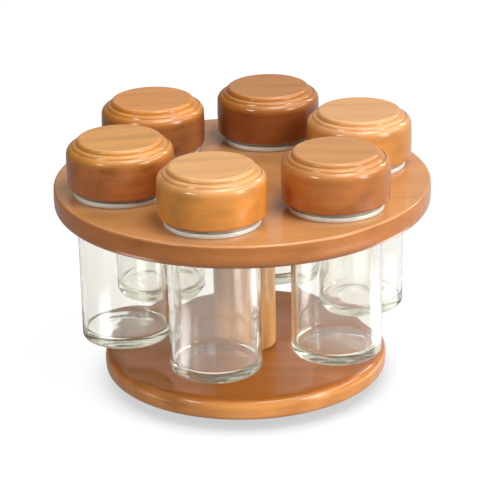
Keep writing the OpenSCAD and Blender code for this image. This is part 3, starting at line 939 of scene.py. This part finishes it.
class SPICE_RACK_OT_lids(bpy.types.Operator):
    """Makes the six turned lids, each with its plug"""

    bl_idname = "spice_rack.lids"
    bl_label = "Lids"

    def execute(self, context):
        for number in JARS:
            self.lid(number)
        return {"FINISHED"}

    def lid(self, number):
        size, finish = settings("sizes"), settings("finishes")
        node = f"lid_{number}"
        side = outer_radius(node)
        foot, top, plug_end = high(f"jar_{number}"), high(node), low(node)
        waist = side - size.lid_bulge
        plateau = side - size.plateau_inset
        ring = plateau + size.ring_width
        ring_top = top - size.ring_drop
        shoulder = top - size.shoulder_drop
        line_out = ring + size.line_width
        # The shoulder is one arc that starts at the groove and runs into the side
        bend = size.shoulder_round
        lean = math.asin((line_out - (waist - bend)) / bend)
        shoulder_start = shoulder - bend * (1 - math.cos(lean))
        shoulder_corner = shoulder - bend + bend * math.tan((math.pi / 2 - lean) / 2)
        line_low = shoulder_start - size.line_depth
        # The ring moulding is an arc too, and ends at an angle in the groove
        curl = size.ring_round
        ring_corner = ring - curl * (1 - math.tan(RING_SWEEP / 2))
        ring_end = ring - curl * (1 - math.sin(RING_SWEEP))
        ring_low = ring_top - curl * (1 - math.cos(RING_SWEEP))
        plug = mouth_radius(number) - size.plug_gap
        seat = plug - size.seal_seat
        seal_top, seal_bottom = foot - size.seal_land, plug_end + size.seal_land
        crisp = 0.15 * MM
        # The fourth number of a corner is its painted shade, darker in a deep crease than in a shallow
        # one
        corners = [
            (0, top, 0),
            (plateau, top, size.plateau_round),
            (plateau + 0.1 * MM, ring_top, 0.35 * MM, SHALLOW_CREASE_SHADE),
            (ring_corner, ring_top, curl),
            (ring_end, ring_low, 0),
            (ring, line_low, 0.2 * MM, DEEP_CREASE_SHADE),
            (line_out - 0.1 * MM, line_low, 0.2 * MM, DEEP_CREASE_SHADE),
            (line_out, shoulder_start, 0),
            (waist, shoulder_corner, bend),
            (side, foot + 0.45 * (shoulder - foot), SWELL_ROUND),
            (waist, foot, size.lid_low_round),
            (plug, foot, 0.3 * MM, DEEP_CREASE_SHADE),
            (plug, seal_top, crisp),
            (seat, seal_top, crisp),
            (seat, seal_bottom, crisp),
            (plug, seal_bottom, crisp),
            (plug, plug_end, 0.7 * MM),
            (0, plug_end, 0),
        ]
        centre = middle(node)
        turn, figure = LID_GRAINS[number]
        # Each lid is cut from another place in its board
        pith = (0.0, -0.03 - 0.011 * number, top - 0.035 + 0.019 * (number % 3))
        # The painted light of the top's tone takes over from the side's tone over the shoulder
        lit_crown = (shoulder_start - 5 * MM, shoulder_start - 0.5 * MM)
        side_tone, top_tone = (getattr(finish, f"lid_{number}_{part}") for part in ("side", "top"))
        stuff = wood(
            f"lid {number} wood", side_tone, centre, turn, pith, figure, top_tone, lit_crown
        )
        piece = turned(f"lid_{number}_turned", corners, stuff, centre)
        placed(piece, f"lid_{number}", f"lid_{number}_wood", node)


class SPICE_RACK_OT_seals(bpy.types.Operator):
    """Makes the ribbed seal round each lid's plug"""

    bl_idname = "spice_rack.seals"
    bl_label = "Lid Seals"

    def execute(self, context):
        stuff = plain("seal plastic", settings("finishes").seal_tone, 0.32, 0.5)
        for number in JARS:
            self.seal(number, stuff)
        return {"FINISHED"}

    def seal(self, number, stuff):
        size = settings("sizes")
        node = f"lid_seal_{number}"
        reach, bottom, top = outer_radius(node), low(node), high(node)
        inner = mouth_radius(number) - size.plug_gap - size.seal_seat
        sleeve = inner + 1.6 * MM
        ribs, rib = 3, 1.1 * MM
        gap = (top - bottom - ribs * rib) / (ribs - 1)
        corners = [(inner, bottom, 0.1 * MM)]
        for k in range(ribs):
            start = bottom + k * (rib + gap)
            if k > 0:
                corners.append((sleeve, start, 0.15 * MM))
            corners.append((reach, start, 0.45 * MM))
            corners.append((reach, start + rib, 0.45 * MM))
            if k < ribs - 1:
                corners.append((sleeve, start + rib, 0.15 * MM))
        corners.append((inner, top, 0.1 * MM))
        piece = turned(f"lid_seal_{number}_moulded", corners, stuff, middle(node), closed=True)
        placed(piece, f"lid_{number}", "seal_plastic", node)


class SPICE_RACK_OT_jars(bpy.types.Operator):
    """Makes the six glass jars"""

    bl_idname = "spice_rack.jars"
    bl_label = "Glass Jars"

    def execute(self, context):
        stuff = glass()
        for number in JARS:
            self.jar(number, stuff)
        return {"FINISHED"}

    def jar(self, number, stuff):
        size = settings("sizes")
        node = f"jar_{number}"
        collar = outer_radius(node)
        body = collar - size.collar_ledge
        inside = body - size.glass_wall
        mouth = body - size.mouth_wall
        bottom, lip = low(node), high(node)
        seat = lip - size.collar_height
        bead = size.collar_height / 2
        upper_bead = collar - 0.3 * MM
        groove = collar - 0.7 * MM
        floor = bottom + size.glass_floor
        # The jar stands on a ring round its punt, and its floor rises a little toward the middle
        foot_ring, punt, rise = 16.5 * MM, 11 * MM, 9 * MM
        corners = [
            (0, bottom + size.punt_depth, 0),
            (punt, bottom + 0.75 * size.punt_depth, 12 * MM),
            (foot_ring, bottom, 1.5 * MM),
            (body, bottom, size.glass_corner),
            (body, seat, 0.25 * MM),
            (collar, seat, 0.5 * MM),
            (collar, seat + bead, 1.0 * MM),
            (groove, seat + bead + 0.1 * MM, 0.2 * MM),
            (upper_bead, seat + bead + 0.3 * MM, 0.8 * MM),
            (upper_bead, lip, 1.0 * MM),
            (mouth, lip, 0.8 * MM),
            (mouth, seat - 0.2 * MM, 2.0 * MM),
            (inside, seat - 3.2 * MM, 3.0 * MM),
            (inside, floor, size.floor_corner),
            (rise, floor + 0.15 * MM, 20 * MM),
            (0, floor + 0.5 * MM, 0),
        ]
        piece = turned(f"jar_{number}_blown", corners, stuff, middle(node))
        placed(piece, f"jar_{number}", "jar_glass", node)


# How many of each stand in a ring under the base disc
BALLS = 20
PADS = 4
RIVETS = 4
PLATE_SCREWS = 4
POST_SCREWS = 2


class SPICE_RACK_OT_turntable(bpy.types.Operator):
    """Makes the balls, rivets, screws and pads, and finishes the plates, the cage and the foot"""

    bl_idname = "spice_rack.turntable"
    bl_label = "Turntable and Foot"

    def execute(self, context):
        finish = settings("finishes")
        zinc = metal("zinc-plated steel", (0.60, 0.60, 0.62), 0.30, 0.4)
        yellow = metal("yellow zinc", (0.62, 0.52, 0.30), 0.32)
        brass = metal("turned brass", (0.66, 0.47, 0.20), 0.26)
        bright = metal("polished ball steel", (0.72, 0.72, 0.74), 0.10)
        nylon = plain("cage nylon", (0.76, 0.72, 0.62), 0.45, 0.3)
        rubber = plain("pad rubber", (0.022, 0.022, 0.023), 0.6)
        board = wood("foot board", finish.foot_tone, figure=0.7)
        for node, stuff in (
            ("foot_plate", board), ("lower_race_plate", zinc), ("upper_race_plate", zinc),
            ("centre_pivot", brass), ("ball_cage", nylon),
        ):
            self.dress(node, stuff)
        self.balls(bright)
        self.pads(rubber)
        self.rivets(zinc)
        self.turntable_screws(yellow)
        self.post_screws(yellow)
        return {"FINISHED"}

    def dress(self, node, stuff):
        """Gives a piece of the frame its finish, in its own shape."""
        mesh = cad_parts[node].data
        mesh.materials.clear()
        mesh.materials.append(stuff)

    def ring(self, piece, copies, radius, first, stuff):
        """Copies of a piece on a circle. The first one's turn is in degrees."""
        grown(piece, "ring", {
            "Copies": copies, "Radius": radius, "First Turn": math.radians(first), "Finish": stuff,
        })
        return tidy(piece)

    def balls(self, stuff):
        bottom, top = low("bearing_balls"), high("bearing_balls")
        radius = (top - bottom) / 2
        circle = outer_radius("bearing_balls") - radius
        shape = bmesh.new()
        bmesh.ops.create_icosphere(shape, subdivisions=3, radius=radius)
        bmesh.ops.translate(shape, verts=shape.verts, vec=(0, 0, bottom + radius))
        mesh = bpy.data.meshes.new("balls_ground")
        shape.to_mesh(mesh)
        shape.free()
        balls = self.ring(linked("balls_ground", mesh), BALLS, circle, 0, stuff)
        placed(balls, "cage", "ball_steel", "bearing_balls")

    def pads(self, stuff):
        bottom, top = low("foot_pads"), high("foot_pads")
        radius = 6 * MM
        pad = turned("pads_moulded", [
            (0, bottom, 0),
            (radius - 0.6 * MM, bottom, 0.5 * MM),
            (radius, bottom + 1.2 * MM, 0.8 * MM),
            (radius, top, 0.15 * MM),
            (0, top, 0),
        ], stuff, steps=48)
        pads = self.ring(pad, PADS, outer_radius("foot_pads") - radius, 0, stuff)
        placed(pads, "foot", "pad_rubber", "foot_pads")

    def fixing_circle(self):
        """Radius of the circle of rivets and screws, and the radius of their heads."""
        head = 3.1 * MM
        return outer_radius("turntable_screws") - head, head

    def rivets(self, stuff):
        circle, head = self.fixing_circle()
        bottom, top = low("foot_rivets"), high("foot_rivets")
        plate_top = low("lower_race_plate") + 1 * MM
        shank = 1.6 * MM
        rivet = turned("rivets_clinched", [
            (0, bottom + 0.25 * MM, 0),
            (shank, bottom + 0.15 * MM, 0.5 * MM),
            (head - 0.3 * MM, bottom, 0.4 * MM),
            (head, bottom + 1.1 * MM, 0.15 * MM),
            (shank, bottom + 1.15 * MM, 0.1 * MM),
            (shank, plate_top, 0.05 * MM),
            (head, plate_top, 0.1 * MM),
            (head - 0.2 * MM, top - 0.05 * MM, 0.3 * MM),
            (0, top, 0),
        ], stuff, steps=40)
        placed(self.ring(rivet, RIVETS, circle, 45, stuff), "foot", "rivet_steel", "foot_rivets")

    def turntable_screws(self, stuff):
        circle, head = self.fixing_circle()
        dome = [(head, 0.3 * MM, 0.5 * MM), (head, 1.2 * MM, 0.1 * MM)]
        screw = self.screw("turntable_screws", stuff, dome, 1.5 * MM, 1.1 * MM, 1.2 * MM)
        screws = self.ring(screw, PLATE_SCREWS, circle, 0, stuff)
        placed(screws, "rack", "screw_steel", "turntable_screws")

    def post_screws(self, stuff):
        head = 4.0 * MM
        screw = self.screw(
            "post_screws", stuff, [(head, 0.0, 0.1 * MM)], 2.0 * MM, 1.6 * MM, 2.0 * MM
        )
        circle = outer_radius("post_screws") - head
        screws = self.ring(screw, POST_SCREWS, circle, 0, stuff)
        placed(screws, "rack", "screw_steel", "post_screws")

    def screw(self, node, stuff, head, shank, slot_depth, neck):
        """A screw that stands on its head, with a threaded shank and a cross recess. The head is given
        by its corners, and the neck is where the shank starts."""
        bottom, top = low(node), high(node)
        pitch, tip = 1.2 * MM, 1.2 * MM
        corners = [(0, bottom, 0)]
        corners += [(r, bottom + z, rounding) for r, z, rounding in head]
        corners.append((shank, bottom + neck, 0.1 * MM))
        thread = bottom + neck + 1 * MM
        while thread + pitch < top - tip - 0.3 * MM:
            corners.append((shank * 0.78, thread, 0))
            corners.append((shank, thread + pitch / 2, 0))
            thread += pitch
        corners.append((shank * 0.72, top - tip, 0))
        corners.append((0, top, 0))
        name = node + "_driven"
        blank = turned(name, corners, stuff, steps=32)
        cross = self.cross(bottom, slot_depth)
        cut = blank.modifiers.new("cross", "BOOLEAN")
        cut.operation = "DIFFERENCE"
        cut.solver = "EXACT"
        cut.object = cross
        faces_before = len(blank.data.polygons)
        applied(blank)
        if len(blank.data.polygons) <= faces_before:
            raise RuntimeError(f"The cross recess of {name} wasn't cut")
        bpy.data.objects.remove(cross)
        return blank

    def cross(self, bottom, depth):
        """A tapered cross that reaches up into a screw's head and as far below it."""
        arm, half, taper = 1.7 * MM, 0.45 * MM, 0.7
        plus = [
            (half, half), (half, arm), (-half, arm), (-half, half), (-arm, half), (-arm, -half),
            (-half, -half), (-half, -arm), (half, -arm), (half, -half), (arm, -half), (arm, half),
        ]
        count = len(plus)
        spots = [(x, y, bottom - depth) for x, y in plus]
        spots += [(taper * x, taper * y, bottom + depth) for x, y in plus]
        faces = [tuple(range(count)), tuple(range(2 * count - 1, count - 1, -1))]
        faces += [(k, k + count, (k + 1) % count + count, (k + 1) % count) for k in range(count)]
        mesh = bpy.data.meshes.new("cross")
        mesh.from_pydata(spots, [], faces)
        return tidy(linked("cross", mesh))


# Each lamp's turn to the right of the camera and its height above level in degrees, its distance in
# metres, and its width and height in metres
LAMPS = {
    "key": (58, 21, 1.0, (0.24, 0.62)),
    "band": (76, 34, 1.0, (1.10, 0.14)),
    "left": (-46, 34, 1.0, (0.26, 0.10)),
    "rim": (130, 30, 1.0, (0.12, 0.26)),
    "top": (45, 70, 1.2, (0.55, 0.45)),
}
# Half the width of a bright patch's soft edge
PATCH_EDGE = 20 * MM


class SPICE_RACK_OT_stage(bpy.types.Operator):
    """Makes the camera, the lamps, the sky and the pale floor"""

    bl_idname = "spice_rack.stage"
    bl_label = "Stage"

    def execute(self, context):
        context.scene.view_settings.view_transform = "Standard"
        # Light crosses up to three jars, of four glass faces each, before it reaches the wood behind
        light = context.scene.cycles
        light.max_bounces = 24
        light.transmission_bounces = 24
        light.glossy_bounces = 12
        light.transparent_max_bounces = 24
        self.camera()
        self.sky()
        self.floor()
        for name, (turn, height, distance, size) in LAMPS.items():
            power = getattr(settings("stage"), name + "_power")
            self.lamp(name + " lamp", turn, height, distance, size, power)
        return {"FINISHED"}

    def spot(self, turn, height, distance, middle_height):
        """A place round the rack, from its turn to the right of the camera and its height above level,
        both in degrees."""
        azimuth = settings("stage").camera_azimuth + math.radians(turn)
        lift = math.radians(height)
        level = math.cos(lift)
        way = Vector((math.sin(azimuth) * level, -math.cos(azimuth) * level, math.sin(lift)))
        return way * distance + Vector((0, 0, middle_height))

    def ahead(self, turn):
        """The level direction from the rack to the camera, turned to the right in degrees."""
        return self.spot(turn, 0, 1.0, 0.0)

    def camera(self):
        stage = settings("stage")
        data = bpy.data.cameras.new("camera")
        data.sensor_width = 36.0
        data.lens = stage.camera_lens
        data.clip_start, data.clip_end = 0.05, 50.0
        camera = linked("camera", data)
        height = math.degrees(stage.camera_height)
        place = self.spot(0, height, stage.camera_distance, stage.middle_height)
        turn = Matrix.Rotation(stage.camera_azimuth, 4, "Z")
        turn = turn @ Matrix.Rotation(math.pi / 2 - stage.camera_height + stage.aim_rise, 4, "X")
        turn = turn @ Matrix.Rotation(stage.aim_swing, 4, "Y")
        turn = turn @ Matrix.Rotation(stage.camera_roll, 4, "Z")
        camera.matrix_world = Matrix.Translation(place) @ turn
        bpy.context.scene.camera = camera

    def lamp(self, name, turn, height, distance, size, power):
        data = bpy.data.lights.new(name, "AREA")
        data.shape = "RECTANGLE"
        data.size, data.size_y = size
        data.energy = power
        lamp = linked(name, data)
        aim = Vector((0, 0, settings("stage").middle_height))
        place = self.spot(turn, height, distance, aim.z)
        facing = (aim - place).to_track_quat("-Z", "Y")
        lamp.matrix_world = Matrix.Translation(place) @ facing.to_matrix().to_4x4()

    def sky(self):
        """White where the eye or glass sees it. As shine shows it, it is bright overhead and dim on the
        left."""
        stage = settings("stage")
        world = bpy.data.worlds.new("sky")
        bpy.context.scene.world = world
        world.use_nodes = True
        made = Nodes(world.node_tree)
        out = made.add("ShaderNodeOutputWorld")
        glow = made.add("ShaderNodeBackground")
        glow.inputs["Color"].default_value = grey(1.0)
        made.link(glow.outputs[0], out.inputs["Surface"])
        path = made.add("ShaderNodeLightPath")
        where = made.add("ShaderNodeTexCoord").outputs["Generated"]

        def toward(direction, start, end, first, last):
            """A value that goes from first to last as the ray turns toward a direction."""
            along = made.vector("DOT_PRODUCT", where, direction)
            return made.span(along, start, end, first, last, "SMOOTHSTEP")

        shine = toward(self.ahead(0), -0.25, 0.55, stage.back_shine, stage.front_shine)
        left = toward(self.ahead(-90), 0.0, 0.7, 1.0, stage.left_shine)
        overhead = toward(Vector((0, 0, 1)), 0.5, 0.85, 1.0, stage.zenith_shine)
        shine = made.work("MULTIPLY", made.work("MULTIPLY", shine, left), overhead)
        strength = made.between(path.outputs["Is Glossy Ray"], stage.sky_light, shine)
        strength = made.between(path.outputs["Is Transmission Ray"], strength, 1.0)
        strength = made.between(path.outputs["Is Camera Ray"], strength, 1.0)
        made.link(strength, glow.inputs["Strength"])

    def floor(self):
        """A white floor. It is lifted to pure white for the eye and for glass, and keeps the shadow. As
        shine shows it, it is dim on the left and has a few bright patches."""
        stage = settings("stage")
        half = 12.0
        corners = [(-half, -half, 0), (half, -half, 0), (half, half, 0), (-half, half, 0)]
        mesh = bpy.data.meshes.new("floor")
        mesh.from_pydata(corners, [], [(0, 1, 2, 3)])
        floor = linked("floor", mesh)
        made = Shader("floor white")
        matt = made.add("ShaderNodeBsdfDiffuse")
        lift = made.add("ShaderNodeEmission")
        lift.inputs["Color"].default_value = grey(1.0)
        path = made.add("ShaderNodeLightPath")
        seen = made.work("MAXIMUM", path.outputs["Is Camera Ray"], path.outputs["Is Transmission Ray"])
        place = made.place()
        aside = made.vector("DOT_PRODUCT", place, self.ahead(-90))
        shine = made.span(aside, 0.02, 0.13, stage.floor_shine, stage.left_shine)
        outward = made.vector("NORMALIZE", place)
        away = made.vector("LENGTH", place)
        # Two bright patches shine up the jars' walls, and one up the rim and the lids' sides. Each has
        # its turn from the camera, its spread in degrees, and its nearest and furthest edges in metres
        for turn, spread, near_edge, far_edge, strength in (
            (-58, 10, 0.12, 0.22, stage.jar_patches),
            (92, 13, 0.12, 0.22, stage.jar_patches),
            (57, 16, 0.25, 0.36, stage.rim_patch),
        ):
            wide = math.cos(math.radians(1.4 * spread))
            narrow = math.cos(math.radians(0.6 * spread))
            here = made.vector("DOT_PRODUCT", outward, self.ahead(turn))
            glow = made.span(here, wide, narrow, 0.0, strength)
            for edge, inside, outside in ((near_edge, 0.0, 1.0), (far_edge, 1.0, 0.0)):
                soft = made.span(away, edge - PATCH_EDGE, edge + PATCH_EDGE, inside, outside)
                glow = made.work("MULTIPLY", glow, soft)
            shine = made.work("ADD", shine, glow)
        seen = made.work("MAXIMUM", seen, made.work("MULTIPLY", path.outputs["Is Glossy Ray"], shine))
        tone = made.mix("MIX", seen, grey(stage.floor_bounce), grey(stage.floor_tone))
        made.link(tone, matt.inputs["Color"])
        # Painted shadow: the floor's lift to white dims, by ambient occlusion, where the rack stands
        # close over it
        near = made.add("ShaderNodeAmbientOcclusion", samples=6)
        near.inputs["Distance"].default_value = stage.contact_reach
        open_sky = made.span(near.outputs["AO"], 0.35, 0.9, stage.contact_shade, 1.0)
        lifted = made.work("MULTIPLY", open_sky, stage.floor_lift)
        made.link(made.work("MULTIPLY", seen, lifted), lift.inputs["Strength"])
        both = made.add("ShaderNodeAddShader")
        made.link(matt.outputs[0], both.inputs[0])
        made.link(lift.outputs[0], both.inputs[1])
        made.link(both.outputs[0], made.out.inputs["Surface"])
        made.tree.nodes.remove(made.body)
        mesh.materials.append(made.material)


class SPICE_RACK_PT_panel(bpy.types.Panel):
    """Lists the steps that build the rack, and the settings that they read"""

    bl_idname = "SPICE_RACK_PT_panel"
    bl_label = "Spice Rack"
    bl_space_type = "VIEW_3D"
    bl_region_type = "UI"
    bl_category = "Spice Rack"

    def draw(self, context):
        for step in STEPS:
            self.layout.operator(step.bl_idname)
        for kind in GROUPS:
            box = self.layout.box()
            box.label(text=kind.capitalize())
            group = settings(kind)
            for name in group.__annotations__:
                box.prop(group, name)


GROUPS = {
    "sizes": SpiceRackSizes,
    "finishes": SpiceRackFinishes,
    "stage": SpiceRackStage,
}
STEPS = (
    SPICE_RACK_OT_discs,
    SPICE_RACK_OT_jars,
    SPICE_RACK_OT_lids,
    SPICE_RACK_OT_seals,
    SPICE_RACK_OT_turntable,
    SPICE_RACK_OT_stage,
)
CLASSES = (*GROUPS.values(), *STEPS, SPICE_RACK_PT_panel)


def register():
    for kind in CLASSES:
        bpy.utils.register_class(kind)
    for name, group in GROUPS.items():
        setattr(bpy.types.Scene, "spice_rack_" + name, bpy.props.PointerProperty(type=group))


def unregister():
    for name in GROUPS:
        delattr(bpy.types.Scene, "spice_rack_" + name)
    for kind in reversed(CLASSES):
        bpy.utils.unregister_class(kind)


def main():
    register()
    for step in STEPS:
        family, name = step.bl_idname.split(".")
        getattr(getattr(bpy.ops, family), name)()


if __name__ == "__main__":
    main()
